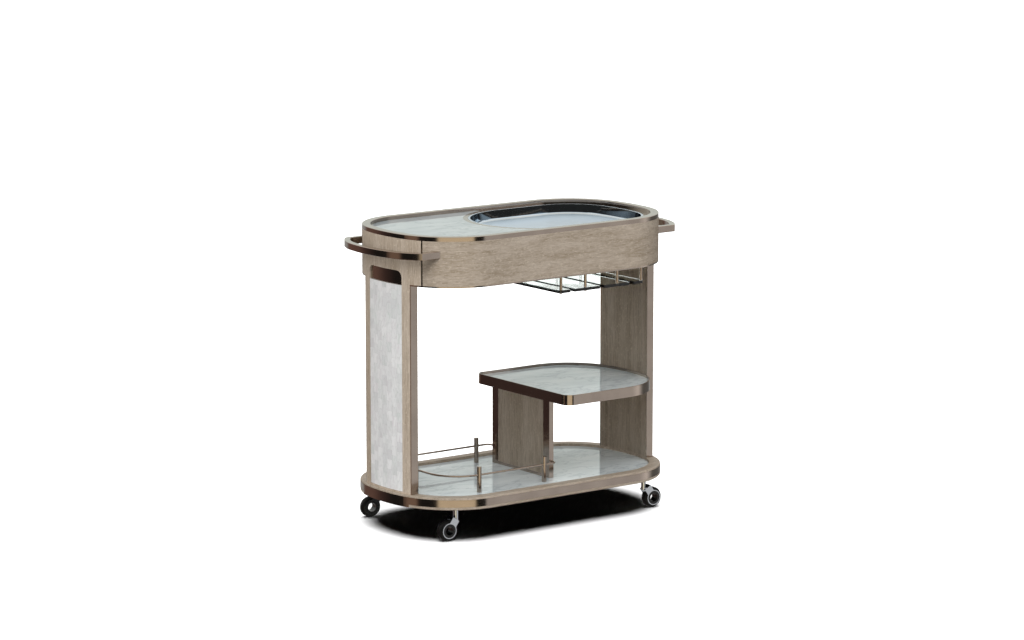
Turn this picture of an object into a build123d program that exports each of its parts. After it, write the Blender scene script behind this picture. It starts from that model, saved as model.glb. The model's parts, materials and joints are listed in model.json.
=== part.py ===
from build123d import *

import os
from math import atan2, cos, degrees, radians, sin, sqrt, tan

# Beverage cart on four casters. Millimetres, +Z up, +X along the cart, front towards -Y,
# origin on the floor under the middle of the cart.

# Plan outline of the top: straight sides, round corners, softly bowed ends
top_half_length = 463.5
top_half_width = 253.0
corner_radius = 197.0
end_radius = 494.0

# Heights, stacked from the floor up
caster_height = 95.5
base_board_thickness = 19.5
leg_height = 615.0
apron_height = 135.0
rim_height = 13.0

# Fits
seat_gap = 0.1
running_gap = 0.05
inlay_gap = 0.3

# Base
base_overhang = 9.0
base_border = 33.0
base_marble_thickness = 8.0
base_marble_drop = 8.0
base_lip_height = 8.5
base_edge_chamfer = 2.0
base_band_height = 21.5
band_thickness = 3.0
band_proud = 1.0

# End panels and aprons
wall = 23.0
leg_half_width = 115.0
leg_strip = 3.0
seam_angle = 28.5
seam_width = 5.0
seam_drop = 1.0
trim_height = 4.0

# Inlay and grip plate in each end panel
inlay_half_width = 81.0
inlay_foot = 5.0
inlay_rise = 40.5
inlay_depth = 7.0
inlay_drop = 0.5
inlay_corner = 20.0
grip_height = 42.0
grip_thickness = 1.2

# Top
rim_lap = 2.0
rim_chamfer = 1.0
top_marble_thickness = 10.0
top_marble_depth = 11.0
deck_thickness = 12.0
soffit_thickness = 12.0

# Ice basin, measured from the outline of the top
basin_centre_x = 95.0
basin_inset = 53.0
basin_wall = 1.5
basin_depth = 31.0
basin_draft = 8.0
basin_floor_round = 8.0
basin_flange = 6.5
basin_gap = 0.5
basin_ring_inset = 32.0
marble_tip_x = 40.0

# Handles
handle_reach = 63.0
handle_past_seam = 44.7
handle_width = 18.0
handle_height = 20.5
handle_rise = 86.0
handle_chamfer = 1.2

# Middle shelf
divider_height = 232.0
shelf_left = 33.0
shelf_left_radius = 27.0
shelf_board_thickness = 15.0
shelf_marble_thickness = 8.0
shelf_marble_drop = 8.0

# Divider under the shelf
divider_thickness = 16.0
divider_rail_gap = 28.0
divider_cap_depth = 30.0
divider_foot_height = 9.0

# Bottle gallery
gallery_inset = 83.0
gallery_end_gap = 90.0
gallery_corner = 100.0
gallery_turn = 20.0
rail_radius = 3.0
rail_height = 51.0
post_radius = 7.0
post_height = 76.0
post_chamfer = 0.8
post_from_corner = 5.0
post_from_shelf = 40.0

# Glass rack
rack_length = 319.0
rack_half_depth = 153.0
rack_leg_gap = 59.0
rack_drop = 63.0
rack_thickness = 9.0
rack_corner = 10.0
slot_count = 3
slot_pitch = 111.0
slot_width = 16.0
slot_back = 118.0
rack_post_radius = 4.5
rack_post_inset = 5.5
rack_end_post_inset = 8.5
rack_mid_post_spread = 60.0
rack_screw_radius = 2.4
rack_screw_head_height = 2.0
rack_screw_depth = 10.0

# Casters
caster_inset = 32.2
caster_place_angle = 57.7
stem_radius = 7.25
stem_collar_width = 3.25
stem_collar_height = 3.0
stem_floor = 1.2
socket_wall = 2.75
socket_roof = 1.5
socket_cover = 1.5
socket_flange_width = 9.0
socket_flange_height = 2.5
trail = 29.0
tyre_radius = 31.0
tyre_width = 18.0
tyre_shoulder_width = 4.0
tyre_shoulder_drop = 2.2
tyre_groove_width = 2.5
tyre_groove_depth = 1.5
tyre_thickness = 7.0
wheel_rim_thickness = 3.5
race_thickness = 7.5
cheek_gap = 0.5
cheek_thickness = 5.0
cheek_ring_width = 2.5
arm_angle = 124.0
arm_width = 24.0
arm_fillet = 3.0
bridge_gap = 1.5
bridge_thickness = 7.5

# Where each caster stands, as signs of X and Y, and the way its wheel trails in plan
casters = {
    "front_left": (-1, -1, 176.0),
    "front_right": (1, -1, -4.0),
    "back_left": (-1, 1, 170.0),
    "back_right": (1, 1, -6.0),
}

# Worked out: the outline's arc centres and where its arcs meet
corner_y = top_half_width - corner_radius
end_x = top_half_length - end_radius
corner_x = end_x + sqrt((end_radius - corner_radius) ** 2 - corner_y ** 2)
blend_angle = degrees(atan2(corner_y, corner_x - end_x))

# Worked out: heights
base_lip_top = caster_height + base_lip_height
base_board_top = caster_height + base_board_thickness
base_marble_top = base_board_top + base_marble_thickness
base_top = base_marble_top + base_marble_drop
base_band_top = base_lip_top + base_band_height
apron_bottom = base_top + leg_height
apron_top = apron_bottom + apron_height
trim_top = apron_bottom + trim_height
inlay_low = base_top + inlay_foot
inlay_high = apron_bottom + inlay_rise
grip_low = inlay_high - grip_height
top_marble_top = apron_top + rim_height - top_marble_depth
deck_top = top_marble_top - top_marble_thickness
shelf_low = base_marble_top + divider_height
shelf_board_top = shelf_low + shelf_board_thickness
shelf_marble_top = shelf_board_top + shelf_marble_thickness
shelf_high = shelf_marble_top + shelf_marble_drop
rack_top = trim_top - rack_drop
rack_low = rack_top - rack_thickness
rail_z = base_marble_top + rail_height
handle_low = apron_bottom + handle_rise

# Worked out: how far each face stands outside the top's outline, inwards being negative
inner_face = -wall
board_edge = inner_face - seat_gap
rim_edge = inner_face - rim_lap
slab_edge = rim_edge - seat_gap
band_groove = base_overhang + band_proud - band_thickness
base_marble_edge = base_overhang - base_border
basin_edge = -basin_inset
basin_skin = basin_edge + basin_wall
basin_bore = basin_skin + basin_gap
basin_lip = basin_edge + basin_flange
basin_rebate = basin_lip + basin_gap

# Worked out: half depths of the gallery and the divider
gallery_half_depth = top_half_width - gallery_inset
divider_half_depth = gallery_half_depth - divider_rail_gap

# Worked out: caster sizes, from the tyre inwards and from the stem outwards
wheel_rim_radius = tyre_radius - tyre_thickness
race_radius = wheel_rim_radius - wheel_rim_thickness
race_bore_radius = race_radius - race_thickness
cheek_ring_radius = race_radius + cheek_ring_width
fork_bore_radius = tyre_radius + bridge_gap
arm_reach = fork_bore_radius + bridge_thickness
stem_foot_height = tyre_radius + sqrt((fork_bore_radius + stem_floor) ** 2 - (trail - stem_radius) ** 2)
stem_collar_radius = stem_radius + stem_collar_width
socket_radius = stem_radius + socket_wall
socket_flange_radius = socket_radius + socket_flange_width
socket_depth = base_board_thickness - socket_cover

os.makedirs("parts", exist_ok=True)


def keep(node, piece):
    """Label one finished piece and write it under its node's name."""
    piece.label = node
    export_step(piece, f"parts/{node}.step")


def outline_x(y, grow=0.0):
    """Half length of the plan outline, offset outwards by grow, at a distance y from the long axis."""
    if abs(y) < (end_radius + grow) * sin(radians(blend_angle)):
        return end_x + sqrt((end_radius + grow) ** 2 - y ** 2)
    return corner_x + sqrt((corner_radius + grow) ** 2 - (abs(y) - corner_y) ** 2)


def right_end(grow):
    """Draw the three arcs of the outline's right end, offset outwards by grow."""
    CenterArc((corner_x, corner_y), corner_radius + grow, blend_angle, 90 - blend_angle)
    CenterArc((end_x, 0), end_radius + grow, -blend_angle, 2 * blend_angle)
    CenterArc((corner_x, -corner_y), corner_radius + grow, -90, 90 - blend_angle)


def oval(grow, mode=Mode.ADD):
    """Fill the plan outline, offset outwards by grow."""
    half_width = top_half_width + grow
    with BuildLine() as edge:
        right_end(grow)
        mirror(edge.line, about=Plane.YZ)
        Line((-corner_x, half_width), (corner_x, half_width))
        Line((-corner_x, -half_width), (corner_x, -half_width))
    make_face(edge.edges(), mode=mode)


def basin_plan(grow, mode=Mode.ADD):
    """Fill the basin's plan: a half circle on the left, the top's own right end, offset by grow."""
    half_width = top_half_width + grow
    with BuildLine() as edge:
        right_end(grow)
        Line((corner_x, half_width), (basin_centre_x, half_width))
        CenterArc((basin_centre_x, 0), half_width, 90, 180)
        Line((basin_centre_x, -half_width), (corner_x, -half_width))
    make_face(edge.edges(), mode=mode)


def ring(outer, inner):
    """Fill the strip between two offsets of the plan outline."""
    oval(outer)
    oval(inner, mode=Mode.SUBTRACT)


def end_zone(side, shift, mode):
    """Fill the plan beyond one end's two seam lines, with the lines moved outwards by shift."""
    turn = radians(seam_angle)
    reach = 2 * corner_radius
    start_x = corner_x - shift * sin(turn)
    start_y = corner_y + shift * cos(turn)
    tip_x = start_x + reach * cos(turn)
    tip_y = start_y + reach * sin(turn)
    with BuildLine() as edge:
        Polyline(
            (side * start_x, start_y),
            (side * tip_x, tip_y),
            (side * tip_x, -tip_y),
            (side * start_x, -start_y),
            close=True,
        )
    make_face(edge.edges(), mode=mode)


def keep_leg(half_width):
    """Keep only the right end of the sketch, within half_width of the long axis."""
    with Locations((top_half_length, 0)):
        Rectangle(top_half_length, 2 * half_width, mode=Mode.INTERSECT)


# Base

stem_x = corner_x + (corner_radius - caster_inset) * cos(radians(caster_place_angle))
stem_y = corner_y + (corner_radius - caster_inset) * sin(radians(caster_place_angle))
stem_places = [(sign_x * stem_x, sign_y * stem_y) for sign_x, sign_y, turn in casters.values()]

with BuildPart() as base_board:
    with BuildSketch(Plane.XY.offset(caster_height)):
        oval(base_overhang)
    extrude(amount=base_lip_height)
    chamfer(base_board.faces().sort_by(Axis.Z)[0].edges(), length=base_edge_chamfer)
    with BuildSketch(Plane.XY.offset(caster_height)):
        ring(base_overhang + band_proud, band_groove - seat_gap)
        Rectangle(3 * top_half_length, 2 * (leg_half_width + seat_gap), mode=Mode.INTERSECT)
    extrude(amount=base_lip_height, mode=Mode.SUBTRACT)
    with BuildSketch(Plane.XY.offset(base_lip_top)):
        oval(band_groove - seat_gap)
    extrude(amount=base_board_top - base_lip_top)
    with BuildSketch(Plane.XY.offset(caster_height)):
        with Locations(*stem_places):
            Circle(socket_radius + running_gap)
    extrude(amount=socket_depth + seat_gap, mode=Mode.SUBTRACT)
keep("base_board", base_board.part)

with BuildPart() as base_frame:
    with BuildSketch(Plane.XY.offset(base_band_top)):
        ring(base_overhang, base_marble_edge)
    extrude(amount=base_top - base_band_top)
    outer_top_edges = base_frame.faces().sort_by(Axis.Z)[-1].outer_wire().edges()
    chamfer(outer_top_edges, length=base_edge_chamfer)
    with BuildSketch(Plane.XY.offset(base_board_top)):
        ring(band_groove - seat_gap, base_marble_edge)
    extrude(amount=base_band_top - base_board_top)
keep("base_frame", base_frame.part)

with BuildPart() as base_band:
    with BuildSketch(Plane.XY.offset(base_lip_top)):
        ring(base_overhang + band_proud, band_groove)
    extrude(amount=base_band_height)
    with BuildSketch(Plane.XY.offset(caster_height)):
        ring(base_overhang + band_proud, band_groove)
        Rectangle(3 * top_half_length, 2 * leg_half_width, mode=Mode.INTERSECT)
    extrude(amount=base_lip_height)
keep("base_band", base_band.part)

with BuildPart() as base_marble:
    with BuildSketch(Plane.XY.offset(base_board_top)):
        oval(base_marble_edge - inlay_gap)
    extrude(amount=base_marble_thickness)
keep("base_marble", base_marble.part)

# End panels with their inlays


def end_slab(outer, inner, half_width, low, high, top_corner):
    """A curved slab in the right end panel, with its two top corners rounded."""
    with BuildPart() as slab:
        with BuildSketch(Plane.XY.offset(low)):
            ring(outer, inner)
        extrude(amount=high - low)
        with BuildSketch(Plane.YZ) as window:
            with Locations((0, (low + high) / 2)):
                Rectangle(2 * half_width, high - low)
            if top_corner:
                fillet(window.vertices().group_by(Axis.Y)[-1], radius=top_corner)
        extrude(amount=2 * top_half_length, mode=Mode.INTERSECT)
    return slab.part


pocket = end_slab(base_overhang, -inlay_depth, inlay_half_width, inlay_low, inlay_high, inlay_corner)
mosaic = end_slab(
    -inlay_drop,
    seat_gap - inlay_depth,
    inlay_half_width - inlay_gap,
    inlay_low + seat_gap,
    grip_low,
    0,
)
grip_plate = end_slab(
    seat_gap - inlay_depth + grip_thickness,
    seat_gap - inlay_depth,
    inlay_half_width - inlay_gap,
    grip_low,
    inlay_high - inlay_gap,
    inlay_corner - inlay_gap,
)

with BuildPart() as end_panel:
    with BuildSketch(Plane.XY.offset(base_top)):
        ring(0, inner_face)
        keep_leg(leg_half_width - leg_strip)
    extrude(amount=trim_top - base_top)
    with BuildSketch(Plane.XY.offset(trim_top)):
        ring(0, inner_face)
        end_zone(1, -seam_width / 2, Mode.INTERSECT)
    extrude(amount=apron_top - trim_top)
    add(pocket, mode=Mode.SUBTRACT)

for side, about in (("right", None), ("left", Plane.YZ)):
    for name, piece in (("end_panel", end_panel.part), ("mosaic", mosaic), ("grip_plate", grip_plate)):
        with BuildPart() as placed:
            if about is None:
                add(piece)
            else:
                mirror(piece, about=about)
        keep(f"{side}_{name}", placed.part)

for end, sign_x in (("left", -1), ("right", 1)):
    for face, sign_y in (("front", -1), ("back", 1)):
        with BuildPart() as leg_edge:
            with BuildSketch(Plane.XY.offset(base_top)):
                ring(0, inner_face)
                with Locations((sign_x * top_half_length, sign_y * (leg_half_width - leg_strip / 2))):
                    Rectangle(top_half_length, leg_strip, mode=Mode.INTERSECT)
            extrude(amount=leg_height)
        keep(f"{end}_leg_{face}_strip", leg_edge.part)

# Aprons, seams and trim

for face, sign_y in (("front", -1), ("back", 1)):
    with BuildPart() as apron:
        with BuildSketch(Plane.XY.offset(trim_top)):
            ring(0, inner_face)
            end_zone(1, seam_width / 2, Mode.SUBTRACT)
            end_zone(-1, seam_width / 2, Mode.SUBTRACT)
            with Locations((0, sign_y * top_half_width)):
                Rectangle(3 * top_half_length, 2 * top_half_width, mode=Mode.INTERSECT)
        extrude(amount=apron_top - trim_top)
    keep(f"{face}_apron", apron.part)

with BuildSketch() as seams:
    for side in (-1, 1):
        end_zone(side, seam_width / 2, Mode.ADD)
        end_zone(side, -seam_width / 2, Mode.SUBTRACT)

with BuildPart() as seam_strips:
    with BuildSketch(Plane.XY.offset(trim_top)):
        ring(-seam_drop, inner_face)
        add(seams.sketch, mode=Mode.INTERSECT)
    extrude(amount=apron_top - trim_top)
keep("apron_seam_strips", seam_strips.part)

with BuildPart() as apron_trim:
    with BuildSketch(Plane.XY.offset(apron_bottom)):
        ring(0, inner_face)
        Rectangle(3 * top_half_length, 2 * (leg_half_width - leg_strip), mode=Mode.SUBTRACT)
    extrude(amount=trim_height)
keep("apron_trim", apron_trim.part)

# Top

with BuildPart() as top_rim:
    with BuildSketch(Plane.XY.offset(apron_top)):
        ring(0, rim_edge)
    extrude(amount=rim_height)
    chamfer(top_rim.faces().sort_by(Axis.Z)[-1].edges(), length=rim_chamfer)
    with BuildSketch(Plane.XY.offset(deck_top)):
        ring(board_edge, rim_edge)
    extrude(amount=apron_top - deck_top)
keep("top_rim", top_rim.part)

with BuildPart() as soffit:
    with BuildSketch(Plane.XY.offset(trim_top)):
        oval(board_edge)
    extrude(amount=soffit_thickness)
keep("soffit", soffit.part)

with BuildPart() as top_deck:
    with BuildSketch(Plane.XY.offset(deck_top - deck_thickness)):
        oval(board_edge)
        basin_plan(basin_bore + basin_gap, mode=Mode.SUBTRACT)
    extrude(amount=deck_thickness)
keep("top_deck", top_deck.part)

with BuildPart() as top_marble:
    with BuildSketch(Plane.XY.offset(deck_top)):
        oval(slab_edge)
        with Locations((marble_tip_x - inlay_gap, 0)):
            Rectangle(
                2 * top_half_length,
                2 * top_half_width,
                align=(Align.MIN, Align.CENTER),
                mode=Mode.SUBTRACT,
            )
        basin_plan(inlay_gap - basin_ring_inset, mode=Mode.SUBTRACT)
    extrude(amount=top_marble_thickness)
keep("top_marble", top_marble.part)

with BuildPart() as basin_ring:
    with BuildSketch(Plane.XY.offset(deck_top)):
        oval(slab_edge)
        with Locations((marble_tip_x, 0)):
            Rectangle(
                2 * top_half_length,
                2 * top_half_width,
                align=(Align.MIN, Align.CENTER),
                mode=Mode.INTERSECT,
            )
        basin_plan(-basin_ring_inset)
        basin_plan(basin_bore, mode=Mode.SUBTRACT)
    extrude(amount=top_marble_thickness)
    with BuildSketch(Plane.XY.offset(top_marble_top)):
        basin_plan(basin_rebate)
    extrude(amount=-(basin_wall + seat_gap), mode=Mode.SUBTRACT)
keep("basin_ring", basin_ring.part)


def basin_form(grow, depth, floor_round):
    """The basin's plan carried down by depth and drawn in by the draft, with a round floor edge."""
    with BuildPart() as form:
        with BuildSketch(Plane.XY.offset(top_marble_top)):
            basin_plan(grow)
        with BuildSketch(Plane.XY.offset(top_marble_top - depth)):
            basin_plan(grow - depth * tan(radians(basin_draft)))
        loft(ruled=True)
        fillet(form.faces().sort_by(Axis.Z)[0].edges(), radius=floor_round)
    return form.part


with BuildPart() as ice_basin:
    with BuildSketch(Plane.XY.offset(top_marble_top)):
        basin_plan(basin_lip)
    extrude(amount=-basin_wall)
    add(basin_form(basin_skin, basin_depth + basin_wall, basin_floor_round + basin_wall))
    add(basin_form(basin_edge, basin_depth, basin_floor_round), mode=Mode.SUBTRACT)
keep("ice_basin", ice_basin.part)

# Handles, their ends on the aprons just past the seams

handle_half_width = corner_y + corner_radius * sin(radians(seam_angle)) + handle_past_seam

with BuildSketch() as handle_outside:
    oval(0)
    Rectangle(3 * top_half_length, 2 * handle_half_width, mode=Mode.INTERSECT)

with BuildSketch() as handle_inside:
    oval(-handle_width)
    Rectangle(3 * top_half_length, 2 * (handle_half_width - handle_width), mode=Mode.INTERSECT)

with BuildPart() as handle:
    with BuildSketch(Plane.XY.offset(handle_low)):
        with Locations((handle_reach, 0)):
            add(handle_outside.sketch)
            add(handle_inside.sketch, mode=Mode.SUBTRACT)
    extrude(amount=handle_height)
    chamfer(handle.faces().filter_by(Axis.Z).edges(), length=handle_chamfer)
    with BuildSketch(Plane.XY.offset(handle_low)):
        oval(seat_gap)
    extrude(amount=handle_height, mode=Mode.SUBTRACT)
keep("right_handle", handle.part)

with BuildPart() as left_handle:
    mirror(handle.part, about=Plane.YZ)
keep("left_handle", left_handle.part)

# Middle shelf and its divider


def shelf_plan(inset):
    """The shelf's plan, drawn in by inset: the top's right end inside the leg, cut off on the left."""
    with BuildSketch() as plan:
        oval(board_edge - inset)
        with Locations((shelf_left + inset, 0)):
            Rectangle(
                2 * top_half_length,
                2 * top_half_width,
                align=(Align.MIN, Align.CENTER),
                mode=Mode.INTERSECT,
            )
        fillet(plan.vertices().group_by(Axis.X)[0], radius=shelf_left_radius - inset)
    return plan.sketch


shelf_outside = shelf_plan(0)
shelf_inside = shelf_plan(band_thickness)
shelf_slab = shelf_plan(band_thickness + seat_gap)

with BuildPart() as shelf_board:
    with BuildSketch(Plane.XY.offset(shelf_low)):
        add(shelf_slab)
    extrude(amount=shelf_board_thickness)
keep("mid_shelf_board", shelf_board.part)

with BuildPart() as shelf_band:
    with BuildSketch(Plane.XY.offset(shelf_low)):
        add(shelf_outside)
        add(shelf_inside, mode=Mode.SUBTRACT)
    extrude(amount=shelf_high - shelf_low)
keep("mid_shelf_band", shelf_band.part)

with BuildPart() as shelf_marble:
    with BuildSketch(Plane.XY.offset(shelf_board_top)):
        add(shelf_slab)
    extrude(amount=shelf_marble_thickness)
keep("mid_shelf_marble", shelf_marble.part)

divider_x = shelf_left + divider_thickness / 2
divider_panel_half = divider_half_depth - divider_cap_depth

with BuildPart() as divider_foot:
    with BuildSketch(Plane.XY.offset(base_marble_top)):
        with Locations((divider_x, 0)):
            Rectangle(divider_thickness, 2 * divider_panel_half)
    extrude(amount=divider_foot_height)
keep("divider_foot", divider_foot.part)

with BuildPart() as divider_panel:
    with BuildSketch(Plane.XY.offset(base_marble_top + divider_foot_height)):
        with Locations((divider_x, 0)):
            Rectangle(divider_thickness, 2 * divider_panel_half)
    extrude(amount=divider_height - divider_foot_height)
keep("divider_panel", divider_panel.part)

for face, sign_y in (("front", -1), ("back", 1)):
    with BuildPart() as divider_cap:
        with BuildSketch(Plane.XY.offset(base_marble_top)):
            with Locations((divider_x, sign_y * (divider_panel_half + divider_cap_depth / 2))):
                Rectangle(divider_thickness, divider_cap_depth)
        extrude(amount=divider_height)
    keep(f"divider_{face}_cap", divider_cap.part)

# Bottle gallery

gallery_left = -(outline_x(0, inner_face) - gallery_end_gap)
post_left_x = gallery_left + gallery_corner + post_from_corner
post_right_x = shelf_left - post_from_shelf
post_places = [(gallery_left, 0)]
for post_x in (post_left_x, post_right_x):
    for sign_y in (-1, 1):
        post_places.append((post_x, sign_y * gallery_half_depth))


def bent_rail(radius):
    """A rod along the gallery, from the divider's front edge round the left end to its back edge."""
    with BuildPart() as rod:
        with BuildLine(Plane.XY.offset(rail_z)) as route:
            FilletPolyline(
                (divider_x, -divider_half_depth),
                (divider_x, -gallery_half_depth),
                (gallery_left, -gallery_half_depth),
                (gallery_left, gallery_half_depth),
                (divider_x, gallery_half_depth),
                (divider_x, divider_half_depth),
                radius=[gallery_turn, gallery_corner, gallery_corner, gallery_turn],
            )
        with BuildSketch(Plane(origin=route.line @ 0, z_dir=route.line % 0)):
            Circle(radius)
        sweep(path=route.line)
    return rod.part


keep("gallery_rail", bent_rail(rail_radius))

with BuildPart() as gallery_posts:
    with BuildSketch(Plane.XY.offset(base_marble_top)):
        with Locations(*post_places):
            Circle(post_radius)
    extrude(amount=post_height)
    chamfer(gallery_posts.faces().filter_by(Axis.Z).group_by(Axis.Z)[-1].edges(), length=post_chamfer)
    add(bent_rail(rail_radius + running_gap), mode=Mode.SUBTRACT)
keep("gallery_posts", gallery_posts.part)

# Glass rack

rack_x = outline_x(0, inner_face) - rack_leg_gap - rack_length / 2
rack_post_y = rack_half_depth - rack_post_inset
rack_end_post_x = rack_length / 2 - rack_end_post_inset
rack_places = []
for post_x in (-rack_end_post_x, -rack_mid_post_spread, rack_mid_post_spread, rack_end_post_x):
    for sign_y in (-1, 1):
        rack_places.append((rack_x + post_x, sign_y * rack_post_y))

with BuildPart() as rack_plate:
    with BuildSketch(Plane.XY.offset(rack_low)):
        with Locations((rack_x, 0)):
            RectangleRounded(rack_length, 2 * rack_half_depth, rack_corner)
        with Locations((rack_x, slot_back - slot_width / 2)):
            with GridLocations(slot_pitch, 0, slot_count, 1):
                Circle(slot_width / 2, mode=Mode.SUBTRACT)
                Rectangle(
                    slot_width,
                    2 * rack_half_depth,
                    align=(Align.CENTER, Align.MAX),
                    mode=Mode.SUBTRACT,
                )
        with Locations(*rack_places):
            Circle(rack_screw_radius + seat_gap, mode=Mode.SUBTRACT)
    extrude(amount=rack_thickness)
keep("rack_plate", rack_plate.part)

with BuildPart() as rack_posts:
    with BuildSketch(Plane.XY.offset(rack_top)):
        with Locations(*rack_places):
            Circle(rack_post_radius)
    extrude(amount=rack_drop)
    with BuildSketch(Plane.XY.offset(rack_top)):
        with Locations(*rack_places):
            Circle(rack_screw_radius + seat_gap)
    extrude(amount=rack_screw_depth + seat_gap, mode=Mode.SUBTRACT)
keep("rack_posts", rack_posts.part)

with BuildPart() as rack_screws:
    with BuildSketch(Plane.XY.offset(rack_low - rack_screw_head_height)):
        with Locations(*rack_places):
            Circle(rack_post_radius)
    extrude(amount=rack_screw_head_height)
    with BuildSketch(Plane.XY.offset(rack_low)):
        with Locations(*rack_places):
            Circle(rack_screw_radius)
    extrude(amount=rack_thickness + rack_screw_depth)
keep("rack_cap_screws", rack_screws.part)

# Casters: the sockets stay in the base board

socket_low = caster_height - socket_flange_height

with BuildPart() as caster_sockets:
    with BuildSketch(Plane.XY.offset(socket_low)):
        with Locations(*stem_places):
            Circle(socket_flange_radius)
    extrude(amount=socket_flange_height)
    with BuildSketch(Plane.XY.offset(caster_height)):
        with Locations(*stem_places):
            Circle(socket_radius)
    extrude(amount=socket_depth)
    with BuildSketch(Plane.XY.offset(socket_low)):
        with Locations(*stem_places):
            Circle(stem_radius + running_gap)
    extrude(amount=socket_flange_height + socket_depth - socket_roof, mode=Mode.SUBTRACT)
keep("caster_sockets", caster_sockets.part)

# One caster, standing under the origin and trailing along +X

wheel_plane = Plane(origin=(trail, 0, tyre_radius), x_dir=(1, 0, 0), z_dir=(0, -1, 0))
cheek_inside = tyre_width / 2 + cheek_gap
cheek_outside = cheek_inside + cheek_thickness
collar_top = socket_low - seat_gap
stem_top = caster_height + socket_depth - socket_roof - seat_gap

with BuildPart() as stem:
    with BuildSketch(Plane.XY.offset(stem_foot_height)):
        Circle(stem_radius)
    extrude(amount=stem_top - stem_foot_height)
    with BuildSketch(Plane.XY.offset(collar_top)):
        Circle(stem_collar_radius)
    extrude(amount=-stem_collar_height)

with BuildPart() as fork:
    with BuildSketch(wheel_plane) as cheek:
        Circle(cheek_ring_radius)
        with Locations(Location((0, 0, 0), (0, 0, arm_angle))):
            Rectangle(arm_reach, arm_width, align=(Align.MIN, Align.CENTER))
        fillet(cheek.vertices().sort_by_distance((0, 0, 0))[:2], radius=arm_fillet)
    extrude(amount=cheek_outside, both=True)
    with BuildSketch(wheel_plane):
        Circle(fork_bore_radius)
    extrude(amount=cheek_inside, both=True, mode=Mode.SUBTRACT)
    with BuildSketch(wheel_plane):
        Circle(race_radius + running_gap)
    extrude(amount=cheek_outside, both=True, mode=Mode.SUBTRACT)
    with BuildSketch(Plane.XY.offset(stem_foot_height)):
        Circle(stem_radius + running_gap)
    extrude(amount=caster_height - stem_foot_height, mode=Mode.SUBTRACT)

with BuildPart() as race:
    with BuildSketch(wheel_plane):
        Circle(race_radius)
        Circle(race_bore_radius, mode=Mode.SUBTRACT)
    extrude(amount=cheek_outside, both=True)

with BuildPart() as wheel_rim:
    with BuildSketch(wheel_plane):
        Circle(wheel_rim_radius)
        Circle(race_radius + running_gap, mode=Mode.SUBTRACT)
    extrude(amount=tyre_width / 2, both=True)

with BuildPart() as tyre:
    with BuildSketch(wheel_plane):
        Circle(tyre_radius)
        Circle(wheel_rim_radius, mode=Mode.SUBTRACT)
    extrude(amount=tyre_width / 2, both=True)
    tread_edges = tyre.edges().filter_by(GeomType.CIRCLE).group_by(SortBy.RADIUS)[-1]
    tread = tyre.faces().filter_by(GeomType.CYLINDER).sort_by(SortBy.RADIUS)[-1]
    chamfer(tread_edges, length=tyre_shoulder_width, length2=tyre_shoulder_drop, reference=tread)
    with BuildSketch(wheel_plane):
        Circle(tyre_radius)
        Circle(tyre_radius - tyre_groove_depth, mode=Mode.SUBTRACT)
    extrude(amount=tyre_groove_width / 2, both=True, mode=Mode.SUBTRACT)

caster_pieces = {
    "stem": stem.part,
    "fork": fork.part,
    "race": race.part,
    "wheel_rim": wheel_rim.part,
    "tyre": tyre.part,
}
for corner, (sign_x, sign_y, turn) in casters.items():
    stand = Location((sign_x * stem_x, sign_y * stem_y, 0), (0, 0, turn))
    for name, piece in caster_pieces.items():
        with BuildPart() as placed:
            with Locations(stand):
                add(piece)
        keep(f"{corner}_caster_{name}", placed.part)
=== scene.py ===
import json
import math
import random

import bmesh
import bpy
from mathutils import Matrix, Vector


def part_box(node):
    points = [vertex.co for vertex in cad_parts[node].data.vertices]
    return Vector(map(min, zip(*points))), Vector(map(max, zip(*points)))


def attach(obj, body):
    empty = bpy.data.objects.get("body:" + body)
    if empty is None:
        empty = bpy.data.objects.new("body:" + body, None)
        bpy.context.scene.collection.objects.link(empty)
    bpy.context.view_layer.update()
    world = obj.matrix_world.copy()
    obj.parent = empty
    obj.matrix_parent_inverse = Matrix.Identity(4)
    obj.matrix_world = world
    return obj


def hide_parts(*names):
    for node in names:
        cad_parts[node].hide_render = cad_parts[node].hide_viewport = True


# Looks of the beverage cart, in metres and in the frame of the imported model.
# Names that end in _mm hold millimetres; three values are sizes along X, Y and Z.

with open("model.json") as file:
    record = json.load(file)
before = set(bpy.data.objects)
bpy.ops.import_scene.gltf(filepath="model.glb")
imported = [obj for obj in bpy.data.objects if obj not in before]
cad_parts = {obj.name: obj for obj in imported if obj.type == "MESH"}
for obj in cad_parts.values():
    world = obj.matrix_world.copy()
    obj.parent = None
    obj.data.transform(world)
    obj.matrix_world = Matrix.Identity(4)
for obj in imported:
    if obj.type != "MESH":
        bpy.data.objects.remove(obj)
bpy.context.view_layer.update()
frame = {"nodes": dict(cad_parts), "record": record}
nodes = frame["nodes"]

MM = 0.001


# Small helpers


def linear(hex_code):
    """Turn an sRGB hex value into linear red, green, blue and full alpha."""
    values = [int(hex_code[i:i + 2], 16) / 255 for i in (1, 3, 5)]
    return [v / 12.92 if v <= 0.04045 else ((v + 0.055) / 1.055) ** 2.4 for v in values] + [1.0]


def add_node(tree, kind, inputs=(), stops=(), **settings):
    """Add one node with its settings.

    inputs pairs a socket with its value or with the socket that feeds it, and stops are a ramp's.
    """
    made = tree.nodes.new(kind)
    for name, value in settings.items():
        setattr(made, name, value)
    for socket, value in dict(inputs).items():
        if isinstance(value, bpy.types.NodeSocket):
            tree.links.new(value, made.inputs[socket])
        else:
            made.inputs[socket].default_value = value
    for i, (place, colour) in enumerate(stops):
        ramp = made.color_ramp.elements
        stop = ramp[i] if i < len(ramp) else ramp.new(place)
        stop.position, stop.color = place, colour
    return made


def new_material(name):
    """Make an empty node material, and return it with its node tree."""
    made = bpy.data.materials.new(name)
    made.use_nodes = True
    made.node_tree.nodes.clear()
    return made, made.node_tree


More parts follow.
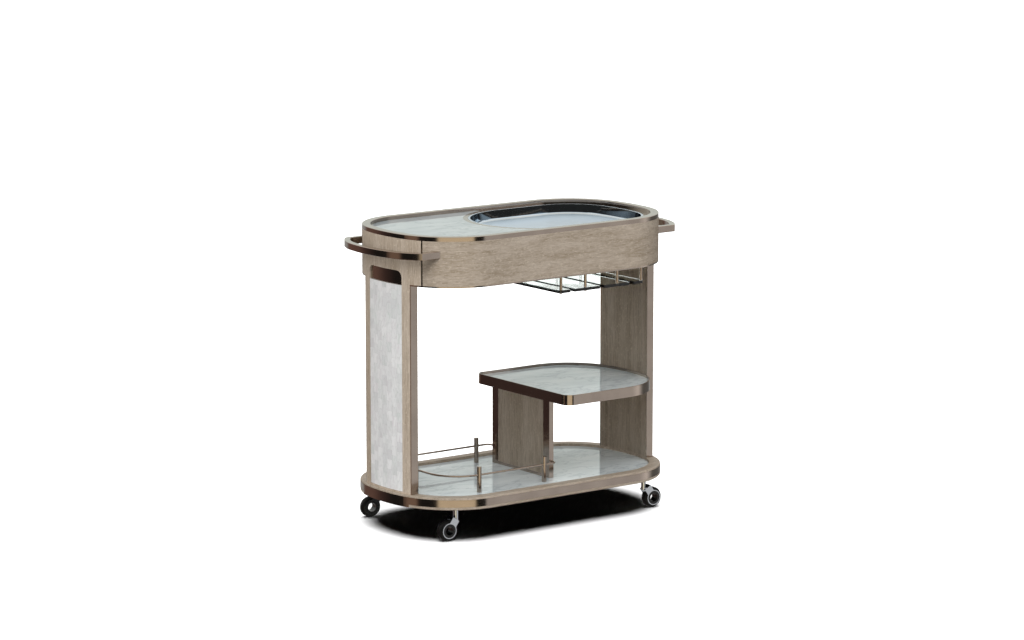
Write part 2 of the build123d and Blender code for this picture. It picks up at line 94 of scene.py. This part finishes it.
def stretched(tree, size_mm):
    """Object coordinates in units of the given sizes."""
    place = add_node(tree, "ShaderNodeTexCoord")
    scale = [1 / (size * MM) for size in size_mm]
    return add_node(
        tree, "ShaderNodeMapping", {"Vector": place.outputs["Object"], "Scale": scale}
    ).outputs["Vector"]


# Materials


def greige_oak(name, grain_mm, underside=None):
    """Greige-stained oak veneer under matt lacquer: straight grain, dark pores and pale flecks.

    grain_mm is how far the grain runs before it changes. Real pores are 0.3 mm wide and flecks
    1 mm, too fine to show, so they are drawn 2 to 4 mm wide. underside is a near-black colour
    painted on faces that look down, which also lose their gloss: painted shade, which keeps the
    floor's shadow under the cart dark.
    """
    made, tree = new_material(name)
    band_mm = [8 * size for size in grain_mm]
    pore_mm = [0.55 * size for size in grain_mm]
    fleck_mm = [min(1.3 * size, 8.0) for size in grain_mm]
    peaks_only = {"From Min": 0.58, "From Max": 0.72, "To Min": 0.0}
    lacquer_gloss = 0.5
    band = add_node(
        tree,
        "ShaderNodeTexNoise",
        {"Vector": stretched(tree, band_mm), "Scale": 1.0, "Detail": 2.0},
    )
    fibre = add_node(
        tree,
        "ShaderNodeTexNoise",
        {"Vector": stretched(tree, grain_mm), "Scale": 1.0, "Detail": 5.0, "Roughness": 0.62},
    )
    pore = add_node(
        tree,
        "ShaderNodeTexNoise",
        {"Vector": stretched(tree, pore_mm), "Scale": 1.0, "Detail": 1.0},
    )
    fleck = add_node(
        tree,
        "ShaderNodeTexNoise",
        {"Vector": stretched(tree, fleck_mm), "Scale": 1.0, "Detail": 1.0},
    )
    both = add_node(
        tree,
        "ShaderNodeMix",
        {"Factor": 0.4, "A": fibre.outputs["Fac"], "B": band.outputs["Fac"]},
    )
    tone = add_node(
        tree,
        "ShaderNodeValToRGB",
        {"Fac": both.outputs[0]},
        stops=((0.34, linear("#968672")), (0.48, linear("#B0A18F")), (0.63, linear("#C5B7A7"))),
    )
    fleck_mask = add_node(
        tree,
        "ShaderNodeMapRange",
        {"Value": fleck.outputs["Fac"], **peaks_only, "To Max": 0.6},
    )
    flecked = add_node(
        tree,
        "ShaderNodeMix",
        {"Factor": fleck_mask.outputs[0], "A": tone.outputs["Color"], "B": linear("#D2C4B2")},
        data_type="RGBA",
    )
    pore_mask = add_node(
        tree,
        "ShaderNodeMapRange",
        {"Value": pore.outputs["Fac"], **peaks_only, "To Max": 0.42},
    )
    colour = add_node(
        tree,
        "ShaderNodeMix",
        {"Factor": pore_mask.outputs[0], "A": flecked.outputs["Result"], "B": linear("#77685A")},
        data_type="RGBA",
    )
    gloss = lacquer_gloss
    # Painted shade: faces that look down turn near black and lose their gloss, so the floor's
    # shadow under the cart stays dark
    if underside:
        nearly_down = -0.9
        facing = add_node(tree, "ShaderNodeNewGeometry")
        height = add_node(tree, "ShaderNodeSeparateXYZ", {"Vector": facing.outputs["Normal"]})
        looks_down = add_node(
            tree, "ShaderNodeMath", {0: height.outputs["Z"], 1: nearly_down}, operation="LESS_THAN"
        )
        colour = add_node(
            tree,
            "ShaderNodeMix",
            {
                "Factor": looks_down.outputs[0],
                "A": colour.outputs["Result"],
                "B": linear(underside),
            },
            data_type="RGBA",
        )
        gloss = add_node(
            tree,
            "ShaderNodeMapRange",
            {"Value": looks_down.outputs[0], "To Min": lacquer_gloss, "To Max": 0.0},
        ).outputs[0]
    rough = add_node(
        tree,
        "ShaderNodeMapRange",
        {"Value": fibre.outputs["Fac"], "To Min": 0.46, "To Max": 0.60},
    )
    relief = add_node(
        tree,
        "ShaderNodeBump",
        {"Height": pore_mask.outputs[0], "Strength": 0.25, "Distance": 0.3 * MM},
        invert=True,
    )
    shader = add_node(
        tree,
        "ShaderNodeBsdfPrincipled",
        {
            "Base Color": colour.outputs["Result"],
            "Roughness": rough.outputs[0],
            "Normal": relief.outputs[0],
            "IOR": 1.45,
            "Specular IOR Level": gloss,
        },
    )
    add_node(tree, "ShaderNodeOutputMaterial", {"Surface": shader.outputs[0]})
    return made


def bronze_steel():
    """Stainless steel with a polished bronze coating: a clear mirror, brown and a little brushed.

    Real brush lines are about 0.05 mm apart, too fine to show, so they are drawn 0.8 mm apart.
    """
    made, tree = new_material("bronze_coated_steel")
    line_mm = (60, 60, 0.8)
    cloud_mm = (70, 70, 70)
    brushed = add_node(
        tree,
        "ShaderNodeTexNoise",
        {"Vector": stretched(tree, line_mm), "Scale": 1.0, "Detail": 3.0},
    )
    cloud = add_node(
        tree,
        "ShaderNodeTexNoise",
        {"Vector": stretched(tree, cloud_mm), "Scale": 1.0, "Detail": 2.0},
    )
    colour = add_node(
        tree,
        "ShaderNodeValToRGB",
        {"Fac": cloud.outputs["Fac"]},
        stops=((0.35, linear("#A6998F")), (0.65, linear("#B0A398"))),
    )
    rough = add_node(
        tree,
        "ShaderNodeMapRange",
        {
            "Value": brushed.outputs["Fac"],
            "From Min": 0.3,
            "From Max": 0.7,
            "To Min": 0.09,
            "To Max": 0.16,
        },
    )
    shader = add_node(
        tree,
        "ShaderNodeBsdfPrincipled",
        {"Base Color": colour.outputs["Color"], "Roughness": rough.outputs[0], "Metallic": 1.0},
    )
    add_node(tree, "ShaderNodeOutputMaterial", {"Surface": shader.outputs[0]})
    return made


def white_marble():
    """Polished white marble: cool grey clouds, thin darker veins and a mirror-smooth face.

    The veins wander along the clouds and take a little less polish than the ground.
    """
    made, tree = new_material("polished_white_marble")
    cloud_mm = (150, 70, 150)
    vein_depth = 0.45
    coarse = stretched(tree, cloud_mm)
    drift = add_node(tree, "ShaderNodeTexNoise", {"Vector": coarse, "Scale": 1.0, "Detail": 4.0})
    bent = add_node(
        tree,
        "ShaderNodeMix",
        {"Factor": 0.45, "A": coarse, "B": drift.outputs["Color"]},
        data_type="VECTOR",
    )
    vein = add_node(
        tree,
        "ShaderNodeTexNoise",
        {"Vector": bent.outputs["Result"], "Scale": 1.9, "Detail": 7.0, "Roughness": 0.55},
    )
    ridge = add_node(tree, "ShaderNodeMath", {0: vein.outputs["Fac"], 1: 0.5}, operation="SUBTRACT")
    line = add_node(tree, "ShaderNodeMath", {0: ridge.outputs[0]}, operation="ABSOLUTE")
    vein_mask = add_node(
        tree,
        "ShaderNodeMapRange",
        {
            "Value": line.outputs[0],
            "From Min": 0.0,
            "From Max": 0.03,
            "To Min": vein_depth,
            "To Max": 0.0,
        },
    )
    cloud = add_node(
        tree,
        "ShaderNodeValToRGB",
        {"Fac": drift.outputs["Fac"]},
        stops=((0.32, linear("#BFC8CB")), (0.50, linear("#CCD5D7")), (0.68, linear("#D8DFE0"))),
    )
    colour = add_node(
        tree,
        "ShaderNodeMix",
        {"Factor": vein_mask.outputs[0], "A": cloud.outputs["Color"], "B": linear("#86939C")},
        data_type="RGBA",
    )
    rough = add_node(
        tree,
        "ShaderNodeMapRange",
        {"Value": vein_mask.outputs[0], "From Max": vein_depth, "To Min": 0.045, "To Max": 0.09},
    )
    shader = add_node(
        tree,
        "ShaderNodeBsdfPrincipled",
        {"Base Color": colour.outputs["Result"], "Roughness": rough.outputs[0], "IOR": 1.5},
    )
    add_node(tree, "ShaderNodeOutputMaterial", {"Surface": shader.outputs[0]})
    return made


def pearl_shell():
    """Mother-of-pearl chips: each its own white, with a grey, rose or green tint and a soft gloss.

    Real growth lines are a few tenths of a millimetre apart, too fine to show, so they are drawn
    as streaks of 11 by 34 mm. Each chip takes its streaks from another place of the pattern.
    """
    made, tree = new_material("mother_of_pearl")
    growth_mm = (11, 11, 34)
    chip_shift = (40, 40, 40)
    tone = add_node(tree, "ShaderNodeAttribute", attribute_name="chip_tone")
    hue = add_node(tree, "ShaderNodeAttribute", attribute_name="chip_hue")
    own_place = add_node(
        tree,
        "ShaderNodeVectorMath",
        {0: tone.outputs["Vector"], 1: chip_shift, 2: stretched(tree, growth_mm)},
        operation="MULTIPLY_ADD",
    )
    growth = add_node(
        tree,
        "ShaderNodeTexNoise",
        {"Vector": own_place.outputs[0], "Scale": 1.0, "Detail": 3.0, "Distortion": 1.2},
    )
    white = add_node(
        tree,
        "ShaderNodeValToRGB",
        {"Fac": tone.outputs["Fac"]},
        stops=((0.0, linear("#D2D2D2")), (0.5, linear("#E1E1E0")), (1.0, linear("#EDECEB"))),
    )
    tint = add_node(
        tree,
        "ShaderNodeValToRGB",
        {"Fac": hue.outputs["Fac"]},
        stops=((0.0, linear("#CBC0C5")), (0.5, linear("#C6C6C4")), (1.0, linear("#BBC7BE"))),
    )
    streak = add_node(
        tree,
        "ShaderNodeMapRange",
        {
            "Value": growth.outputs["Fac"],
            "From Min": 0.42,
            "From Max": 0.72,
            "To Min": 0.0,
            "To Max": 0.6,
        },
    )
    colour = add_node(
        tree,
        "ShaderNodeMix",
        {"Factor": streak.outputs[0], "A": white.outputs["Color"], "B": tint.outputs["Color"]},
        data_type="RGBA",
    )
    rough = add_node(
        tree,
        "ShaderNodeMapRange",
        {"Value": growth.outputs["Fac"], "To Min": 0.22, "To Max": 0.42},
    )
    relief = add_node(
        tree,
        "ShaderNodeBump",
        {"Height": growth.outputs["Fac"], "Strength": 0.4, "Distance": 0.15 * MM},
    )
    shader = add_node(
        tree,
        "ShaderNodeBsdfPrincipled",
        {
            "Base Color": colour.outputs["Result"],
            "Roughness": rough.outputs[0],
            "Normal": relief.outputs[0],
            "IOR": 1.53,
        },
    )
    add_node(tree, "ShaderNodeOutputMaterial", {"Surface": shader.outputs[0]})
    return made


def pearl_grout():
    """Pale filled resin between the chips: matt, a little darker than the shell.

    Real filler is about 0.2 mm, too fine to show, so it is drawn as specks of 3 mm.
    """
    made, tree = new_material("inlay_resin")
    speck_mm = (3, 3, 3)
    grit = add_node(
        tree,
        "ShaderNodeTexNoise",
        {"Vector": stretched(tree, speck_mm), "Scale": 1.0, "Detail": 3.0},
    )
    colour = add_node(
        tree,
        "ShaderNodeValToRGB",
        {"Fac": grit.outputs["Fac"]},
        stops=((0.3, linear("#BCBBB7")), (0.7, linear("#C7C6C2"))),
    )
    rough = add_node(
        tree,
        "ShaderNodeMapRange",
        {"Value": grit.outputs["Fac"], "To Min": 0.58, "To Max": 0.72},
    )
    relief = add_node(
        tree,
        "ShaderNodeBump",
        {"Height": grit.outputs["Fac"], "Strength": 0.3, "Distance": 0.1 * MM},
    )
    shader = add_node(
        tree,
        "ShaderNodeBsdfPrincipled",
        {
            "Base Color": colour.outputs["Color"],
            "Roughness": rough.outputs[0],
            "Normal": relief.outputs[0],
        },
    )
    add_node(tree, "ShaderNodeOutputMaterial", {"Surface": shader.outputs[0]})
    return made


def basin_steel():
    """Drawn stainless steel: the walls a mirror, the floor brushed to satin, all of it tinted pale
    blue as a painted reflection of blue light.

    Real brush marks are about 0.1 mm wide, too fine to show, so they are drawn 4 mm wide.
    """
    made, tree = new_material("polished_stainless_steel")
    mark_mm = (50, 4, 50)
    facing = add_node(tree, "ShaderNodeNewGeometry")
    height = add_node(tree, "ShaderNodeSeparateXYZ", {"Vector": facing.outputs["Normal"]})
    satin = add_node(
        tree,
        "ShaderNodeMapRange",
        {
            "Value": height.outputs["Z"],
            "From Min": 0.8,
            "From Max": 1.0,
            "To Min": 0.0,
            "To Max": 0.3,
        },
    )
    marks = add_node(
        tree,
        "ShaderNodeTexNoise",
        {"Vector": stretched(tree, mark_mm), "Scale": 1.0, "Detail": 4.0},
    )
    # The pale blue in the steel's own colour is a painted reflection of blue light, on walls and
    # floor alike
    colour = add_node(
        tree,
        "ShaderNodeValToRGB",
        {"Fac": marks.outputs["Fac"]},
        stops=((0.3, linear("#C6D5E0")), (0.7, linear("#D3E0E9"))),
    )
    mirror = add_node(
        tree,
        "ShaderNodeMapRange",
        {"Value": marks.outputs["Fac"], "To Min": 0.03, "To Max": 0.08},
    )
    rough = add_node(
        tree, "ShaderNodeMath", {0: mirror.outputs[0], 1: satin.outputs[0]}, operation="ADD"
    )
    relief = add_node(
        tree,
        "ShaderNodeBump",
        {"Height": marks.outputs["Fac"], "Strength": 0.15, "Distance": 0.02 * MM},
    )
    shader = add_node(
        tree,
        "ShaderNodeBsdfPrincipled",
        {
            "Base Color": colour.outputs["Color"],
            "Roughness": rough.outputs[0],
            "Normal": relief.outputs[0],
            "Metallic": 1.0,
        },
    )
    add_node(tree, "ShaderNodeOutputMaterial", {"Surface": shader.outputs[0]})
    return made


def clear_glass():
    """Float glass with polished edges: clear through its faces, dark green along its edges."""
    made, tree = new_material("clear_float_glass")
    ripple_mm = (120, 120, 120)
    facing = add_node(tree, "ShaderNodeNewGeometry")
    height = add_node(tree, "ShaderNodeSeparateXYZ", {"Vector": facing.outputs["Normal"]})
    level = add_node(tree, "ShaderNodeMath", {0: height.outputs["Z"]}, operation="ABSOLUTE")
    colour = add_node(
        tree,
        "ShaderNodeValToRGB",
        {"Fac": level.outputs[0]},
        stops=((0.3, linear("#2A302E")), (0.7, linear("#E9F1EE"))),
    )
    ripple = add_node(
        tree,
        "ShaderNodeTexNoise",
        {"Vector": stretched(tree, ripple_mm), "Scale": 1.0, "Detail": 1.0},
    )
    rough = add_node(
        tree,
        "ShaderNodeMapRange",
        {"Value": ripple.outputs["Fac"], "To Min": 0.0, "To Max": 0.012},
    )
    shader = add_node(
        tree,
        "ShaderNodeBsdfPrincipled",
        {
            "Base Color": colour.outputs["Color"],
            "Roughness": rough.outputs[0],
            "Transmission Weight": 1.0,
            "IOR": 1.51,
        },
    )
    add_node(tree, "ShaderNodeOutputMaterial", {"Surface": shader.outputs[0]})
    return made


def bright_chrome():
    """Chrome plate on die-cast zinc: a bright neutral mirror with a slight orange peel.

    Real peel is about 1 mm, too fine to show, so it is drawn at 2.5 mm.
    """
    made, tree = new_material("chrome_plate")
    peel_mm = (2.5, 2.5, 2.5)
    peel = add_node(
        tree,
        "ShaderNodeTexNoise",
        {"Vector": stretched(tree, peel_mm), "Scale": 1.0, "Detail": 2.0},
    )
    colour = add_node(
        tree,
        "ShaderNodeValToRGB",
        {"Fac": peel.outputs["Fac"]},
        stops=((0.35, linear("#C3C7CC")), (0.65, linear("#CDD1D6"))),
    )
    rough = add_node(
        tree,
        "ShaderNodeMapRange",
        {"Value": peel.outputs["Fac"], "To Min": 0.05, "To Max": 0.16},
    )
    relief = add_node(
        tree,
        "ShaderNodeBump",
        {"Height": peel.outputs["Fac"], "Strength": 0.2, "Distance": 0.03 * MM},
    )
    shader = add_node(
        tree,
        "ShaderNodeBsdfPrincipled",
        {
            "Base Color": colour.outputs["Color"],
            "Roughness": rough.outputs[0],
            "Normal": relief.outputs[0],
            "Metallic": 1.0,
        },
    )
    add_node(tree, "ShaderNodeOutputMaterial", {"Surface": shader.outputs[0]})
    return made


def black_polymer(name, colour, rough_low, rough_high, grit_mm, sheen):
    """Moulded black polymer: even colour, with the mould's fine texture in its gloss.

    Real mould texture is about 0.1 mm, too fine to show, so grit_mm is over 1 mm.
    """
    made, tree = new_material(name)
    grit = add_node(
        tree,
        "ShaderNodeTexNoise",
        {"Vector": stretched(tree, (grit_mm,) * 3), "Scale": 1.0, "Detail": 3.0},
    )
    tone = add_node(
        tree,
        "ShaderNodeValToRGB",
        {"Fac": grit.outputs["Fac"]},
        stops=((0.3, linear("#070708")), (0.7, linear(colour))),
    )
    rough = add_node(
        tree,
        "ShaderNodeMapRange",
        {"Value": grit.outputs["Fac"], "To Min": rough_low, "To Max": rough_high},
    )
    relief = add_node(
        tree,
        "ShaderNodeBump",
        {"Height": grit.outputs["Fac"], "Strength": 0.3, "Distance": 0.05 * MM},
    )
    shader = add_node(
        tree,
        "ShaderNodeBsdfPrincipled",
        {
            "Base Color": tone.outputs["Color"],
            "Roughness": rough.outputs[0],
            "Normal": relief.outputs[0],
            "Specular IOR Level": sheen,
        },
    )
    add_node(tree, "ShaderNodeOutputMaterial", {"Surface": shader.outputs[0]})
    return made


# How far the veneer's grain runs before it changes
sides_grain_mm = (24, 24, 2.8)
flat_grain_mm = (50, 3.2, 3.2)
upright_grain_mm = (3.2, 3.2, 55)

oak_sides = greige_oak("oak_veneer_round_the_sides", sides_grain_mm)
oak_flat = greige_oak("oak_veneer_along_the_cart", flat_grain_mm)
oak_upright = greige_oak("oak_veneer_upright", upright_grain_mm)
# The base board's downward faces are painted near black as shade, for the dark floor shadow beneath
oak_base = greige_oak("oak_veneer_with_painted_shade_underside", flat_grain_mm, underside="#141312")
pearl = pearl_shell()
grout = pearl_grout()
nylon = black_polymer(
    "moulded_black_nylon", "#111112", rough_low=0.2, rough_high=0.34, grit_mm=1.5, sheen=0.5
)
tyre = black_polymer(
    "black_polyurethane", "#0F0F0F", rough_low=0.42, rough_high=0.6, grit_mm=1.2, sheen=0.2
)

slot_materials = {
    "bronze_steel": bronze_steel(),
    "marble": white_marble(),
    "polished_steel": basin_steel(),
    "clear_glass": clear_glass(),
    "chrome": bright_chrome(),
    "black_plastic": nylon,
    "tyre_rubber": tyre,
}
oak_by_node = {
    "base_board": oak_base,
    "front_apron": oak_sides,
    "back_apron": oak_sides,
    "left_end_panel": oak_upright,
    "right_end_panel": oak_upright,
    "divider_panel": oak_upright,
}
# The inlays' slabs take veneer too: the chips stand for them, and they don't show
for subpart in frame["record"]["subparts"]:
    node, slot = subpart["node"], subpart["material_slot"]
    look = slot_materials.get(slot) or oak_by_node.get(node, oak_flat)
    nodes[node].data.materials.clear()
    nodes[node].data.materials.append(look)


# Chip inlays: rows of shell chips in a bed of resin, bent to the end panels' curve

END_ARC = 493.5 * MM
CHIP_WIDTH = 22.2 * MM
CHIP_HEIGHT = 29.5 * MM
CHIP_GAP = 0.3 * MM
CHIP_RISE = 0.8 * MM
CHIP_EDGE = 0.4 * MM
CHIP_TILT = 0.12 * MM
TONE_SPREAD = (2.2, 1.8)
HUE_SPREAD = (2.0, 2.0)
RESIN = 1  # the resin's place among an inlay's materials


def between(ring_a, ring_b):
    """List the quads that join two rings of as many points."""
    turned_a, turned_b = ring_a[1:] + ring_a[:1], ring_b[1:] + ring_b[:1]
    return list(zip(ring_a, turned_a, turned_b, ring_b))


def chip_inlay(node, outward, seed):
    """Build one inlay in the place of its CAD slab.

    outward is the sign of X that it faces, and seed says how the chips differ.
    """
    low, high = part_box(node)
    crown = max(abs(low.x), abs(high.x))
    arc_rise = END_ARC - math.sqrt(END_ARC ** 2 - high.y ** 2)
    depth = crown - min(abs(low.x), abs(high.x)) - arc_rise
    draw = random.Random(seed)
    half = END_ARC * math.asin(high.y / END_ARC)
    columns = round(2 * half / CHIP_WIDTH)
    width = 2 * half / columns
    rows = round((high.z - low.z) / CHIP_HEIGHT)
    height = (high.z - low.z) / rows
    form = bmesh.new()
    tone = form.faces.layers.float.new("chip_tone")
    hue = form.faces.layers.float.new("chip_hue")

    def point(along, z, drop):
        """Add a point at an arc length from the middle, a height and a depth under the face."""
        turn, reach = along / END_ARC, END_ARC - drop
        x = crown - END_ARC + reach * math.cos(turn)
        return form.verts.new((outward * x, reach * math.sin(turn), z))

    def ring(corners, drops):
        """Add a point at each corner, at its own depth."""
        return [point(along, z, drop) for (along, z), drop in zip(corners, drops)]

    def set_chip(left, right, bottom, top):
        """Add one chip: upright sides, a chamfer and a slightly tilted face."""
        outer = [(left, bottom), (right, bottom), (right, top), (left, top)]
        left, right = left + CHIP_EDGE, right - CHIP_EDGE
        bottom, top = bottom + CHIP_EDGE, top - CHIP_EDGE
        inner = [(left, bottom), (right, bottom), (right, top), (left, top)]
        low_tilt, high_tilt = draw.uniform(0, CHIP_TILT), draw.uniform(0, CHIP_TILT)
        lean = [low_tilt, low_tilt, high_tilt, high_tilt]
        chip_tone, chip_hue = draw.betavariate(*TONE_SPREAD), draw.betavariate(*HUE_SPREAD)
        foot = ring(outer, [CHIP_RISE + CHIP_TILT] * len(outer))
        shoulder = ring(outer, [drop + CHIP_EDGE / 2 for drop in lean])
        face_ring = ring(inner, lean)
        for corners in between(foot, shoulder) + between(shoulder, face_ring) + [face_ring]:
            face = form.faces.new(corners)
            face[tone], face[hue] = chip_tone, chip_hue

    for column in range(columns):
        left = -half + column * width
        shifted = column % 2  # every other column starts half a chip lower
        for row in range(rows + shifted):
            start = low.z + (row - shifted / 2) * height
            set_chip(
                left + CHIP_GAP / 2,
                left + width - CHIP_GAP / 2,
                max(start, low.z) + CHIP_GAP / 2,
                min(start + height, high.z) - CHIP_GAP / 2,
            )

    bed_drop = CHIP_RISE + CHIP_TILT / 2
    bed_steps = 2 * columns
    section = [(low.z, bed_drop), (high.z, bed_drop), (high.z, depth), (low.z, depth)]
    slices = []
    for i in range(bed_steps + 1):
        along = -half + 2 * half * i / bed_steps
        slices.append([point(along, z, drop) for z, drop in section])
    bed = [slices[0], slices[-1]]
    for near, far in zip(slices, slices[1:]):
        bed += between(near, far)
    for corners in bed:
        form.faces.new(corners).material_index = RESIN

    bmesh.ops.recalc_face_normals(form, faces=form.faces)
    mesh = bpy.data.meshes.new(node + "_chips")
    form.to_mesh(mesh)
    form.free()
    mesh.materials.append(pearl)
    mesh.materials.append(grout)
    inlay = bpy.data.objects.new(node + "_chips", mesh)
    bpy.context.scene.collection.objects.link(inlay)
    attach(inlay, "cart")
    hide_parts(node)
    return inlay


left_chips = chip_inlay("left_mosaic", -1, seed=8)
right_chips = chip_inlay("right_mosaic", 1, seed=7)


# Floor, light and camera. Bearings are degrees from the front towards the left end.

FLOOR_HALF = 30.0


def pale_floor():
    """A large pale sweep of matt paper that mirrors don't pick up, as a cut-out studio floor."""
    mesh = bpy.data.meshes.new("floor")
    h = FLOOR_HALF
    mesh.from_pydata([(-h, -h, 0), (h, -h, 0), (h, h, 0), (-h, h, 0)], [], [(0, 1, 2, 3)])
    made, tree = new_material("matt_white_paper")
    shader = add_node(
        tree,
        "ShaderNodeBsdfPrincipled",
        {"Base Color": linear("#F4F4F4"), "Roughness": 0.95, "Specular IOR Level": 0.0},
    )
    add_node(tree, "ShaderNodeOutputMaterial", {"Surface": shader.outputs[0]})
    mesh.materials.append(made)
    floor = bpy.data.objects.new("floor", mesh)
    floor.visible_glossy = False
    floor.visible_diffuse = False
    floor.visible_shadow = False
    bpy.context.scene.collection.objects.link(floor)
    return floor


def round_the_horizon(bands):
    """Turn bearings from -180 to 180 into places on a ramp."""
    return [((bearing + 180) / 360, colour) for bearing, colour in bands]


def studio_light():
    """What mirrors see: a white tent that turns cream at its top, and cards below the horizon.

    The cards are upright bands, pale, warm, copper and umber among dark ones, and the floor hides
    them from all but mirrors. Low in the tent there are dark flags to the front, with a gap
    between them, and a sage wall behind.
    """
    dark = (0.02, 0.019, 0.018, 1)
    dusk = (0.16, 0.16, 0.155, 1)
    haze = (0.42, 0.42, 0.41, 1)
    pale = (1.02, 1.00, 0.98, 1)
    grey = (0.66, 0.65, 0.64, 1)
    warm = (1.01, 0.88, 0.64, 1)
    copper = (0.30, 0.205, 0.155, 1)
    umber = (0.20, 0.122, 0.10, 1)
    maroon = (0.085, 0.053, 0.048, 1)
    card_bands = (
        (-180, haze), (-130, haze), (-112, dusk), (-85, dusk), (-78, haze), (-67, pale),
        (-50, grey), (-23.5, grey), (-20.5, dark), (-5, dark), (-2, warm), (56, warm),
        (62, dark), (91, dark), (98, copper), (114, copper), (124, dark), (134, dark),
        (146, maroon), (156, umber), (172, umber), (180, haze),
    )
    sage = (0.72, 0.77, 0.72, 1)
    gap = (0.02, 0.019, 0.018, 0)  # no alpha: the white starts lower here
    low_bands = (
        (-180, sage), (-114, sage), (-106, dark), (-56, dark), (-50, gap), (-24, gap),
        (-18, dark), (140, dark), (160, sage), (180, sage),
    )
    white = (1.0, 1.0, 1.0, 1)
    cream = (0.98, 0.9, 0.82, 1)
    dim_cream = (0.8, 0.73, 0.66, 1)
    world = bpy.data.worlds.new("studio")
    bpy.context.scene.world = world
    world.use_nodes = True
    tree = world.node_tree
    tree.nodes.clear()
    direction = add_node(tree, "ShaderNodeTexCoord")
    axes = add_node(tree, "ShaderNodeSeparateXYZ", {"Vector": direction.outputs["Generated"]})
    left = add_node(tree, "ShaderNodeMath", {0: axes.outputs["X"], 1: -1.0}, operation="MULTIPLY")
    front = add_node(tree, "ShaderNodeMath", {0: axes.outputs["Y"], 1: -1.0}, operation="MULTIPLY")
    bearing = add_node(
        tree, "ShaderNodeMath", {0: left.outputs[0], 1: front.outputs[0]}, operation="ARCTAN2"
    )
    turn = add_node(
        tree,
        "ShaderNodeMapRange",
        {"Value": bearing.outputs[0], "From Min": -math.pi, "From Max": math.pi},
    )
    cards = add_node(
        tree,
        "ShaderNodeValToRGB",
        {"Fac": turn.outputs[0]},
        stops=round_the_horizon(card_bands),
    )
    low_light = add_node(
        tree,
        "ShaderNodeValToRGB",
        {"Fac": turn.outputs[0]},
        stops=round_the_horizon(low_bands),
    )
    high_edge = add_node(
        tree,
        "ShaderNodeMapRange",
        {"Value": axes.outputs["Z"], "From Min": 0.2, "From Max": 0.42},
    )
    low_edge = add_node(
        tree,
        "ShaderNodeMapRange",
        {"Value": axes.outputs["Z"], "From Min": 0.135, "From Max": 0.165},
    )
    rise = add_node(
        tree,
        "ShaderNodeMix",
        {"Factor": low_light.outputs["Alpha"], "A": low_edge.outputs[0], "B": high_edge.outputs[0]},
    )
    canopy = add_node(
        tree,
        "ShaderNodeValToRGB",
        {"Fac": axes.outputs["Z"]},
        stops=((0.4, white), (0.62, cream), (1.0, dim_cream)),
    )
    tent = add_node(
        tree,
        "ShaderNodeMix",
        {"Factor": rise.outputs[0], "A": low_light.outputs["Color"], "B": canopy.outputs["Color"]},
        data_type="RGBA",
    )
    above = add_node(
        tree, "ShaderNodeMath", {0: axes.outputs["Z"], 1: 0.0}, operation="GREATER_THAN"
    )
    light = add_node(
        tree,
        "ShaderNodeMix",
        {"Factor": above.outputs[0], "A": cards.outputs["Color"], "B": tent.outputs["Result"]},
        data_type="RGBA",
    )
    shine = add_node(
        tree, "ShaderNodeBackground", {"Color": light.outputs["Result"], "Strength": 1.0}
    )
    add_node(tree, "ShaderNodeOutputWorld", {"Surface": shine.outputs[0]})
    world.cycles_visibility.diffuse = False


def soft_box(name, bearing, height, spread, strength, only=(), never=()):
    """A wide soft light that mirrors don't show, on some objects only or never on some.

    bearing, height above level and spread are in degrees.
    """
    lamp = bpy.data.lights.new(name, "SUN")
    lamp.angle = math.radians(spread)
    lamp.energy = strength
    light = bpy.data.objects.new(name, lamp)
    turn, rise = math.radians(bearing), math.radians(height)
    level = math.cos(rise)
    towards = Vector((-math.sin(turn) * level, -math.cos(turn) * level, math.sin(rise)))
    light.rotation_euler = towards.to_track_quat("Z", "Y").to_euler()
    light.visible_glossy = False
    bpy.context.scene.collection.objects.link(light)
    chosen = bpy.data.collections.new(name + "_chosen")
    for piece in only or never:
        chosen.objects.link(piece)
    for entry in chosen.collection_objects:
        entry.light_linking.link_state = "INCLUDE" if only else "EXCLUDE"
    light.light_linking.receiver_collection = chosen


def photo_camera():
    """A long lens at the photograph's place, 37 degrees left of the front and 10 above level."""
    lens = bpy.data.cameras.new("camera")
    lens.sensor_width = 36.0
    lens.lens = 135.88
    camera = bpy.data.objects.new("camera", lens)
    tilt, heading = math.radians(80.027), math.radians(-36.743)
    camera.location = (-6.7782, -9.0808, 2.5767)
    camera.rotation_euler = (tilt, 0, heading)
    bpy.context.scene.collection.objects.link(camera)
    bpy.context.scene.camera = camera


floor = pale_floor()
studio_light()
front_wood = [nodes["front_apron"]]
left_end = [nodes["left_end_panel"], left_chips]
far_sides = [nodes["back_apron"], nodes["right_end_panel"], right_chips]
uprights = front_wood + left_end + far_sides + [nodes["divider_panel"]]
lower_marble = [nodes["mid_shelf_marble"], nodes["base_marble"]]
# No one lamp gives the pale floor, its dark shadow and soft wood, so each lights its own pieces
soft_box("overhead_box", bearing=0, height=90, spread=62, strength=6.9, only=[floor])
soft_box("front_dome", bearing=35, height=45, spread=170, strength=3.0, never=[floor] + uprights)
soft_box("upright_dome", bearing=20, height=60, spread=178, strength=1.5, only=uprights)
soft_box("front_key", bearing=38, height=50, spread=40, strength=2.4, only=front_wood)
soft_box("left_card", bearing=66, height=26, spread=50, strength=2.15, only=left_end)
soft_box("far_fill", bearing=-135, height=35, spread=140, strength=1.8, only=far_sides)
soft_box("tier_card", bearing=35, height=25, spread=120, strength=2.15, only=lower_marble)
soft_box("floor_bounce", bearing=0, height=-90, spread=178, strength=0.2, never=[floor])
photo_camera()
bpy.context.scene.view_settings.view_transform = "Standard"
